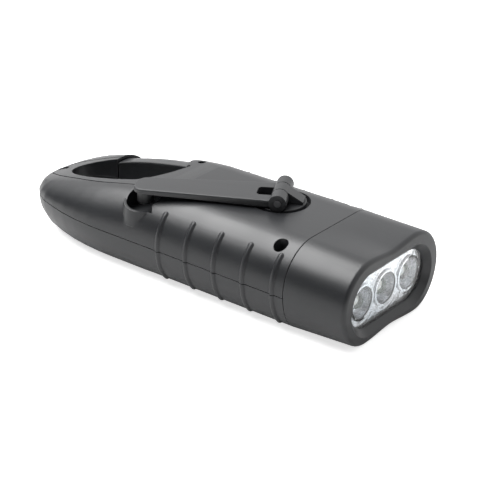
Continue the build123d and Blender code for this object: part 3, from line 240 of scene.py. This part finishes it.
def moulded_plastic(name, colour, rough, grain=GRAIN_SIZE, grain_height=GRAIN_HEIGHT, edge=EDGE_ROUND):
    """Satin moulded plastic: spark-eroded grain, cloudy sheen, edges paler from rubbing and painted
    highlight, and painted shade in creases.
    """
    material, tree, shader = new_material(name)
    place = object_place(tree)
    cloud = noise(tree, place, CLOUD_SCALE)
    fine = noise(tree, place, 1.0 / grain, GRAIN_DETAIL, GRAIN_ROUGHNESS)
    rub_and_highlight_edges, rounded = edge_mask(tree, edge)
    free_of_painted_shade = painted_crevice_shade(tree)
    base = plastic_colour(tree, place, colour, cloud, rub_and_highlight_edges, free_of_painted_shade)
    # The painted crease shade also dims the specular.
    specular = calculate(tree, "MULTIPLY", free_of_painted_shade, PLASTIC_SPECULAR)
    tree.links.new(base, shader.inputs["Base Color"])
    tree.links.new(specular, shader.inputs["Specular IOR Level"])
    sheen = spread(tree, cloud, rough - CLOUD_SMOOTHER, rough + CLOUD_ROUGHER)
    tree.links.new(sheen, shader.inputs["Roughness"])
    tree.links.new(add_bump(tree, fine, grain_height, rounded), shader.inputs["Normal"])
    shader.inputs["IOR"].default_value = PLASTIC_IOR
    return material


# ---------------------------------------------------------------------------
# Metals
# ---------------------------------------------------------------------------
TARNISH_SCALE = 300.0
TARNISH_SHARE = 0.82
SCRATCH_SCALE = 2600.0
SCRATCH_DETAIL = 4.0
SCRATCH_ROUGHNESS = 0.7
SCRATCH_SHEEN = 0.06
SCRATCH_HEIGHT = 0.004 * MM

FLUTES_ROUND_BOWL = 12
FLUTE_STEP = 1.3 * MM
FLUTE_HEIGHT = 0.06 * MM
STEP_SHARE = 0.35
PLATING_SCALE = 1800.0
PLATING_ROUGHNESS = (0.20, 0.28)
PLATING_DARK = (0.52, 0.53, 0.55)
PLATING_LIGHT = (0.72, 0.73, 0.75)

WIRE_SCALE = 700.0
WIRE_HEIGHT = 0.05 * MM
# Painted shade in the grooves between turns and painted highlight on their crests.
WIRE_GROOVE_SHADE = (0.20, 0.05, 0.02)
WIRE_CREST_HIGHLIGHT = (0.62, 0.22, 0.09)
WIRE_METALLIC = 0.6
WIRE_ROUGHNESS = 0.35


def metal(name, colour, rough):
    """Metal with fine directionless scratches and a little tarnish."""
    material, tree, shader = new_material(name)
    place = object_place(tree)
    scratch = noise(tree, place, SCRATCH_SCALE, SCRATCH_DETAIL, SCRATCH_ROUGHNESS)
    tarnish = spread(tree, noise(tree, place, TARNISH_SCALE), 0.0, 1.0)
    tint = blend_colours(tree, tarnish, opaque(colour, TARNISH_SHARE), opaque(colour))
    tree.links.new(tint, shader.inputs["Base Color"])
    tree.links.new(spread(tree, scratch, rough, rough + SCRATCH_SHEEN), shader.inputs["Roughness"])
    tree.links.new(add_bump(tree, scratch, SCRATCH_HEIGHT), shader.inputs["Normal"])
    shader.inputs["Metallic"].default_value = 1.0
    return material


def bowl_relief(tree, place, pitch, axis_height):
    """Height of the flutes and steps round bowls that stand at every pitch along Y."""
    parts = tree.nodes.new("ShaderNodeSeparateXYZ")
    tree.links.new(place, parts.inputs[0])
    across = calculate(tree, "WRAP", parts.outputs["Y"], pitch / 2, -pitch / 2)
    above = calculate(tree, "SUBTRACT", parts.outputs["Z"], axis_height)
    angle = calculate(tree, "ARCTAN2", above, across)
    turn = calculate(tree, "MULTIPLY", angle, FLUTES_ROUND_BOWL / 2)
    flute = calculate(tree, "ABSOLUTE", calculate(tree, "SINE", turn))
    above_squared = calculate(tree, "POWER", above, 2.0)
    across_squared = calculate(tree, "POWER", across, 2.0)
    radius = calculate(tree, "SQRT", calculate(tree, "ADD", above_squared, across_squared))
    step = calculate(tree, "SINE", calculate(tree, "MULTIPLY", radius, 2 * math.pi / FLUTE_STEP))
    return calculate(tree, "ADD", flute, calculate(tree, "MULTIPLY", step, STEP_SHARE))


def fluted_mirror(name, pitch, axis_height):
    """Plated mirror whose bowls are cut in flutes and steps."""
    material, tree, shader = new_material(name)
    place = object_place(tree)
    relief = bowl_relief(tree, place, pitch, axis_height)
    speck = noise(tree, place, PLATING_SCALE)
    tint = blend_colours(tree, spread(tree, speck, 0.0, 1.0), opaque(PLATING_DARK), opaque(PLATING_LIGHT))
    tree.links.new(tint, shader.inputs["Base Color"])
    tree.links.new(spread(tree, speck, *PLATING_ROUGHNESS), shader.inputs["Roughness"])
    tree.links.new(add_bump(tree, relief, FLUTE_HEIGHT), shader.inputs["Normal"])
    shader.inputs["Metallic"].default_value = 1.0
    return material


def copper_winding(name):
    """Enamelled wire laid in even turns round the upright axis, with painted shade in the grooves between
    turns and painted highlight on their crests.
    """
    material, tree, shader = new_material(name)
    turns = add_node(tree, "ShaderNodeTexWave", Scale=WIRE_SCALE)
    turns.wave_type = "BANDS"
    turns.bands_direction = "Z"
    tree.links.new(object_place(tree), turns.inputs["Vector"])
    colour = blend_colours(tree, turns.outputs["Fac"], opaque(WIRE_GROOVE_SHADE), opaque(WIRE_CREST_HIGHLIGHT))
    tree.links.new(colour, shader.inputs["Base Color"])
    tree.links.new(add_bump(tree, turns.outputs["Fac"], WIRE_HEIGHT), shader.inputs["Normal"])
    shader.inputs["Metallic"].default_value = WIRE_METALLIC
    shader.inputs["Roughness"].default_value = WIRE_ROUGHNESS
    return material


# ---------------------------------------------------------------------------
# Clear plastic, board and lamp chip
# ---------------------------------------------------------------------------
CLEAR_IOR = 1.49
RIPPLE_SCALE = 240.0
RIPPLE_DETAIL = 2.0
RIPPLE_HEIGHT = 0.006 * MM
RIPPLE_SHEEN = 0.02
WHITE = (1, 1, 1)

TRACK_SCALE = 420.0
TRACK_COLOUR = (0.010, 0.085, 0.030)
OTHER_TRACK_COLOUR = (0.016, 0.115, 0.045)
BOARD_COLOUR = (0.006, 0.055, 0.020)
LACQUER_SCALE = 500.0
LACQUER_ROUGHNESS = (0.25, 0.4)

PHOSPHOR_SCALE = 6000.0
PHOSPHOR_DETAIL = 2.0
PHOSPHOR_DARK = (0.82, 0.82, 0.74)
PHOSPHOR_LIGHT = (0.88, 0.88, 0.82)
PHOSPHOR_ROUGHNESS = 0.7


def clear_plastic(name, tint, rough):
    """Clear moulded plastic with a very slight ripple."""
    material, tree, shader = new_material(name)
    ripple = noise(tree, object_place(tree), RIPPLE_SCALE, RIPPLE_DETAIL)
    colour = blend_colours(tree, spread(tree, ripple, 0.0, 1.0), opaque(tint), opaque(WHITE))
    tree.links.new(colour, shader.inputs["Base Color"])
    tree.links.new(spread(tree, ripple, rough, rough + RIPPLE_SHEEN), shader.inputs["Roughness"])
    tree.links.new(add_bump(tree, ripple, RIPPLE_HEIGHT), shader.inputs["Normal"])
    shader.inputs["Transmission Weight"].default_value = 1.0
    shader.inputs["IOR"].default_value = CLEAR_IOR
    return material


def solder_mask(name):
    """Green lacquered board with faint copper tracks under the lacquer."""
    material, tree, shader = new_material(name)
    place = object_place(tree)
    tracks = add_node(
        tree, "ShaderNodeTexBrick", Scale=TRACK_SCALE, Color1=opaque(TRACK_COLOUR),
        Color2=opaque(OTHER_TRACK_COLOUR), Mortar=opaque(BOARD_COLOUR))
    tree.links.new(place, tracks.inputs["Vector"])
    lacquer = spread(tree, noise(tree, place, LACQUER_SCALE), *LACQUER_ROUGHNESS)
    tree.links.new(tracks.outputs["Color"], shader.inputs["Base Color"])
    tree.links.new(lacquer, shader.inputs["Roughness"])
    return material


def phosphor(name):
    """Matt pale coat of the light-giving chip."""
    material, tree, shader = new_material(name)
    grains = noise(tree, object_place(tree), PHOSPHOR_SCALE, PHOSPHOR_DETAIL)
    level = spread(tree, grains, 0.0, 1.0)
    colour = blend_colours(tree, level, opaque(PHOSPHOR_DARK), opaque(PHOSPHOR_LIGHT))
    tree.links.new(colour, shader.inputs["Base Color"])
    shader.inputs["Roughness"].default_value = PHOSPHOR_ROUGHNESS
    return material


# ---------------------------------------------------------------------------
# Places read from the frame
# ---------------------------------------------------------------------------
LED_NAMES = ("led_1", "led_2", "led_3")


def node_box(name):
    """Lowest and highest corner of a CAD node, in metres."""
    corners = [nodes[name].matrix_world @ Vector(corner) for corner in nodes[name].bound_box]
    low = Vector([min(corner[axis] for corner in corners) for axis in range(3)])
    high = Vector([max(corner[axis] for corner in corners) for axis in range(3)])
    return low, high


def led_axis(name):
    """Foot, tip, and the Y and Z of the axis of one lamp."""
    low, high = node_box(name)
    middle = (low + high) / 2
    return low.x, high.x, middle.y, middle.z


LED_PITCH = led_axis("led_2")[2] - led_axis("led_1")[2]
LED_HEIGHT = led_axis("led_2")[3]
REFLECTOR_FRONT = node_box("reflector")[1].x


# ---------------------------------------------------------------------------
# Finish of every CAD node
# ---------------------------------------------------------------------------
BLACK = (0.017, 0.018, 0.020)
CRANK_BLACK = (0.021, 0.022, 0.024)
RUBBER_BLACK = (0.030, 0.030, 0.032)
COMPONENT_BLACK = (0.02, 0.02, 0.02)
IVORY = (0.62, 0.60, 0.53)
CELL_GREEN = (0.05, 0.22, 0.10)
BLACKENED_STEEL = (0.15, 0.15, 0.155)
BRIGHT_STEEL = (0.50, 0.50, 0.52)
BRASS = (0.72, 0.52, 0.22)
MAGNET_GREY = (0.20, 0.20, 0.22)

LENS_TINT = (0.93, 0.97, 0.99)
EPOXY_TINT = (0.97, 0.98, 0.96)

# The gate's wider edge rounding also widens its painted edge highlight.
GATE_EDGE_ROUND = 0.9 * MM
CRANK_GRAIN_SIZE = 0.30 * MM
CRANK_GRAIN_HEIGHT = 0.018 * MM
RUBBER_GRAIN_SIZE = 0.4 * MM
RUBBER_GRAIN_HEIGHT = 0.03 * MM

MATERIALS = {
    "shell_plastic": moulded_plastic("shell_plastic", BLACK, rough=0.38),
    "gate_plastic": moulded_plastic("gate_plastic", BLACK, rough=0.34, edge=GATE_EDGE_ROUND),
    "crank_plastic": moulded_plastic(
        "crank_plastic", CRANK_BLACK, rough=0.44, grain=CRANK_GRAIN_SIZE, grain_height=CRANK_GRAIN_HEIGHT),
    "lens_clear": clear_plastic("lens_clear", LENS_TINT, rough=0.01),
    "reflector_chrome": fluted_mirror("reflector_chrome", LED_PITCH, LED_HEIGHT),
    "led_epoxy": clear_plastic("led_epoxy", EPOXY_TINT, rough=0.03),
    "circuit_board": solder_mask("circuit_board"),
    "dark_component": moulded_plastic("dark_component", COMPONENT_BLACK, rough=0.5),
    "steel": metal("steel", BLACKENED_STEEL, rough=0.40),
    "spring_steel": metal("spring_steel", BRIGHT_STEEL, rough=0.25),
    "bush_brass": metal("bush_brass", BRASS, rough=0.28),
    "gear_nylon": moulded_plastic("gear_nylon", IVORY, rough=0.42),
    "magnet_metal": metal("magnet_metal", MAGNET_GREY, rough=0.40),
    "coil_copper": copper_winding("coil_copper"),
    "cell_wrap": moulded_plastic("cell_wrap", CELL_GREEN, rough=0.28),
    "button_rubber": moulded_plastic(
        "button_rubber", RUBBER_BLACK, rough=0.62, grain=RUBBER_GRAIN_SIZE, grain_height=RUBBER_GRAIN_HEIGHT),
}

SMOOTH_BELOW = math.radians(28)
DECK_EDGE_X = -6.1 * MM
DECK_EDGE_WIDTH = 0.01 * MM
LEAST_DECK_FOLD = math.radians(3)
WELD_REACH = 0.002 * MM


def compare(group, operation, value, limit):
    """Compares a number of the mesh with a limit."""
    node = group.nodes.new("FunctionNodeCompare")
    node.data_type = "FLOAT"
    node.operation = operation
    node.inputs[1].default_value = limit
    group.links.new(value, node.inputs[0])
    return node


def combine(group, operation, first, second):
    node = group.nodes.new("FunctionNodeBooleanMath")
    node.operation = operation
    group.links.new(first, node.inputs[0])
    group.links.new(second, node.inputs[1])
    return node.outputs[0]


def crisp_edges(group):
    """Edges that stay sharp: steep ones, and the faint fold where the deck meets the ring's slope."""
    angle = group.nodes.new("GeometryNodeInputMeshEdgeAngle").outputs["Unsigned Angle"]
    parts = group.nodes.new("ShaderNodeSeparateXYZ")
    group.links.new(group.nodes.new("GeometryNodeInputPosition").outputs[0], parts.inputs[0])
    on_line = compare(group, "EQUAL", parts.outputs["X"], DECK_EDGE_X)
    on_line.inputs["Epsilon"].default_value = DECK_EDGE_WIDTH
    folded = compare(group, "GREATER_THAN", angle, LEAST_DECK_FOLD)
    steep = compare(group, "GREATER_THAN", angle, SMOOTH_BELOW)
    deck_fold = combine(group, "AND", on_line.outputs["Result"], folded.outputs["Result"])
    return combine(group, "OR", deck_fold, steep.outputs["Result"])


def smoothing_group():
    """Node group that welds a faceted mesh and shades it smooth away from its crisp edges."""
    group = bpy.data.node_groups.new("smooth_below_angle", "GeometryNodeTree")
    group.interface.new_socket("Geometry", in_out="INPUT", socket_type="NodeSocketGeometry")
    group.interface.new_socket("Geometry", in_out="OUTPUT", socket_type="NodeSocketGeometry")
    source = group.nodes.new("NodeGroupInput")
    weld = add_node(group, "GeometryNodeMergeByDistance", Distance=WELD_REACH)
    faces = group.nodes.new("GeometryNodeSetShadeSmooth")
    faces.domain = "FACE"
    edges = add_node(group, "GeometryNodeSetShadeSmooth", Shade_Smooth=False)
    edges.domain = "EDGE"
    group.links.new(crisp_edges(group), edges.inputs["Selection"])
    result = group.nodes.new("NodeGroupOutput")
    stages = (source, weld, faces, edges, result)
    for before, after in zip(stages, stages[1:]):
        group.links.new(before.outputs["Geometry"], after.inputs["Geometry"])
    return group


def finish_nodes():
    """Gives every CAD node its material and smooth shading over its facets."""
    smooth = smoothing_group()
    for part in frame["record"]["subparts"]:
        piece = nodes[part["node"]]
        mesh = piece.data
        mesh.materials.clear()
        mesh.materials.append(MATERIALS[part["material_slot"]])
        if "custom_normal" in mesh.attributes:
            mesh.attributes.remove(mesh.attributes["custom_normal"])
        modifier = piece.modifiers.new("smooth", "NODES")
        modifier.node_group = smooth


# ---------------------------------------------------------------------------
# Inside of the lamps
# ---------------------------------------------------------------------------
LEAD_LENGTH = 2.0 * MM
LEAD_THICKNESS = 0.5 * MM
LEAD_START = 0.15 * MM
LEAD_OFFSET = 0.75 * MM
WIDE_LEAD = 1.3 * MM
NARROW_LEAD = 0.7 * MM

CUP_PLACE = 2.2 * MM
CUP_DEPTH = 0.5 * MM
CUP_FLOOR_RADIUS = 0.6 * MM
CUP_MOUTH_RADIUS = 0.95 * MM
CUP_SIDES = 24

CHIP_SIDE = 0.9 * MM
CHIP_THICKNESS = 0.14 * MM
CHIP_AHEAD_OF_CUP = 0.30 * MM

RING_RADIUS = 4.42 * MM
RING_WIRE = 0.17 * MM
RING_STEPS = 64
RING_WIRE_STEPS = 10

LEAD_GREY = (0.86, 0.86, 0.87)
# The bowl ring's dark grey is painted shade along the ridge at each bowl's mouth.
RING_SHADE_GREY = (0.045, 0.045, 0.048)

PHOSPHOR = phosphor("phosphor")
LEAD_METAL = metal("lead_metal", LEAD_GREY, rough=0.42)
RING_SHADE_METAL = metal("ring_shade_metal", RING_SHADE_GREY, rough=0.40)


def add_block(shape, centre, size):
    place = Matrix.Translation(centre) @ Matrix.Diagonal((*size, 1))
    bmesh.ops.create_cube(shape, size=1.0, matrix=place)


def add_cup(shape, centre):
    """Cup that opens towards the tip of the lamp."""
    turn = Matrix.Translation(centre) @ Matrix.Rotation(math.radians(90), 4, "Y")
    bmesh.ops.create_cone(
        shape, cap_ends=True, segments=CUP_SIDES, radius1=CUP_FLOOR_RADIUS,
        radius2=CUP_MOUTH_RADIUS, depth=CUP_DEPTH, matrix=turn)


def lead_frame(name):
    """Two leads, the little cup and the chip in it, seen through the clear lamp."""
    foot_x, _, y, z = led_axis(name)
    shape = bmesh.new()
    for side, width in ((-1, WIDE_LEAD), (1, NARROW_LEAD)):
        centre = (foot_x + LEAD_START + LEAD_LENGTH / 2, y, z + side * LEAD_OFFSET)
        add_block(shape, centre, (LEAD_LENGTH, LEAD_THICKNESS, width))
    add_cup(shape, (foot_x + CUP_PLACE, y, z))
    metal_faces = len(shape.faces)
    chip_x = foot_x + CUP_PLACE + CHIP_AHEAD_OF_CUP
    add_block(shape, (chip_x, y, z), (CHIP_THICKNESS, CHIP_SIDE, CHIP_SIDE))
    shape.faces.ensure_lookup_table()
    for face in shape.faces[metal_faces:]:
        face.material_index = 1
    mesh = bpy.data.meshes.new(f"{name}_lead_frame")
    shape.to_mesh(mesh)
    shape.free()
    mesh.materials.append(LEAD_METAL)
    mesh.materials.append(PHOSPHOR)
    piece = bpy.data.objects.new(f"{name}_lead_frame", mesh)
    bpy.context.scene.collection.objects.link(piece)
    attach(piece, "housing")


def bowl_ring(name):
    """Ring set round the mouth of one bowl of the reflector, close behind the lens, dark grey as painted
    shade along the ridge there.
    """
    _, _, y, z = led_axis(name)
    bpy.ops.mesh.primitive_torus_add(
        major_radius=RING_RADIUS, minor_radius=RING_WIRE, major_segments=RING_STEPS,
        minor_segments=RING_WIRE_STEPS, location=(REFLECTOR_FRONT - RING_WIRE, y, z),
        rotation=(0, math.radians(90), 0))
    piece = bpy.context.object
    piece.name = f"{name}_bowl_ring"
    for face in piece.data.polygons:
        face.use_smooth = True
    piece.data.materials.append(RING_SHADE_METAL)
    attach(piece, "housing")


# ---------------------------------------------------------------------------
# Floor and world
# ---------------------------------------------------------------------------
FLOOR_REACH = 4.0
FLOOR_DROP = 0.02 * MM
FLOOR_ALBEDO = 0.72
FLOOR_LIFT = 0.70
MIRRORED_LIFT = 0.16

# The room brightens between two edges, each the cosine of a direction's angle to the bright side.
BRIGHT_SIDE = Vector((0.10, 0.85, 0.50)).normalized()
DIM_EDGE = -0.15
BRIGHT_EDGE = 0.70
DIM_LEVEL = 0.016
BRIGHT_LEVEL = 1.16


def seen_directly(tree, path):
    """1 for what the camera sees, also through the lens, and 0 for other rays."""
    return calculate(tree, "MAXIMUM", path.outputs["Is Camera Ray"], path.outputs["Is Transmission Ray"])


def floor_material():
    """Pale matt floor that glows to the camera, and a little in mirrors, but lights nothing."""
    material = bpy.data.materials.new("floor")
    material.use_nodes = True
    tree = material.node_tree
    tree.nodes.clear()
    output = tree.nodes.new("ShaderNodeOutputMaterial")
    diffuse = add_node(tree, "ShaderNodeBsdfDiffuse", Color=opaque((FLOOR_ALBEDO,) * 3))
    glow = tree.nodes.new("ShaderNodeEmission")
    path = tree.nodes.new("ShaderNodeLightPath")
    mirrored = calculate(tree, "MULTIPLY", path.outputs["Is Glossy Ray"], MIRRORED_LIFT)
    direct = calculate(tree, "MULTIPLY", seen_directly(tree, path), FLOOR_LIFT)
    tree.links.new(calculate(tree, "MAXIMUM", mirrored, direct), glow.inputs["Strength"])
    both = tree.nodes.new("ShaderNodeAddShader")
    tree.links.new(diffuse.outputs[0], both.inputs[0])
    tree.links.new(glow.outputs[0], both.inputs[1])
    tree.links.new(both.outputs[0], output.inputs["Surface"])
    return material


def make_floor():
    """Floor that reads white to the camera and keeps the contact shadow."""
    mesh = bpy.data.meshes.new("floor")
    corners = [(x * FLOOR_REACH, y * FLOOR_REACH, 0) for x, y in ((-1, -1), (1, -1), (1, 1), (-1, 1))]
    mesh.from_pydata(corners, [], [(0, 1, 2, 3)])
    mesh.materials.append(floor_material())
    floor = bpy.data.objects.new("floor", mesh)
    bpy.context.scene.collection.objects.link(floor)
    floor.location.z = -FLOOR_DROP


def make_world():
    """White to the camera; to the object a soft room, bright behind and dim in front."""
    world = bpy.data.worlds.new("world")
    bpy.context.scene.world = world
    world.use_nodes = True
    tree = world.node_tree
    tree.nodes.clear()
    output = tree.nodes.new("ShaderNodeOutputWorld")
    background = add_node(tree, "ShaderNodeBackground", Color=opaque(WHITE))
    place = tree.nodes.new("ShaderNodeTexCoord").outputs["Generated"]
    toward = dot_product(tree, place, BRIGHT_SIDE)
    level = spread(tree, toward, DIM_LEVEL, BRIGHT_LEVEL, DIM_EDGE, BRIGHT_EDGE)
    path = tree.nodes.new("ShaderNodeLightPath")
    strength = add_node(tree, "ShaderNodeMix", B=1.0)
    strength.data_type = "FLOAT"
    tree.links.new(seen_directly(tree, path), strength.inputs["Factor"])
    tree.links.new(level, strength.inputs["A"])
    tree.links.new(strength.outputs["Result"], background.inputs["Strength"])
    tree.links.new(background.outputs[0], output.inputs["Surface"])


# ---------------------------------------------------------------------------
# Lights
# ---------------------------------------------------------------------------
OVERHEAD_PLACE = (-0.46, -0.10, 0.80)
OVERHEAD_AIM = (0, 0, 0)
OVERHEAD_SIZE = (0.9, 0.55)
OVERHEAD_WATTS = 15.0

FILL_PLACE = (0.9, -0.25, 0.45)
FILL_AIM = (0.04, 0, 0.01)
FILL_SIZE = (0.4, 0.4)
FILL_WATTS = 0.45


def add_area(name, place, aim, size, watts):
    """Soft box aimed at a point."""
    light = bpy.data.lights.new(name, "AREA")
    light.shape = "RECTANGLE"
    light.size, light.size_y = size
    light.energy = watts
    lamp = bpy.data.objects.new(name, light)
    lamp.location = place
    direction = Vector(aim) - Vector(place)
    lamp.rotation_euler = direction.to_track_quat("-Z", "Y").to_euler()
    bpy.context.scene.collection.objects.link(lamp)


def make_lights():
    """Large box overhead to the left, which draws the highlight along the shoulder, and a weak fill."""
    add_area("overhead", OVERHEAD_PLACE, OVERHEAD_AIM, OVERHEAD_SIZE, OVERHEAD_WATTS)
    add_area("front_fill", FILL_PLACE, FILL_AIM, FILL_SIZE, FILL_WATTS)


make_camera()
make_world()
make_floor()
make_lights()
finish_nodes()
for led_name in LED_NAMES:
    lead_frame(led_name)
    bowl_ring(led_name)

bpy.context.scene.view_settings.view_transform = "Standard"
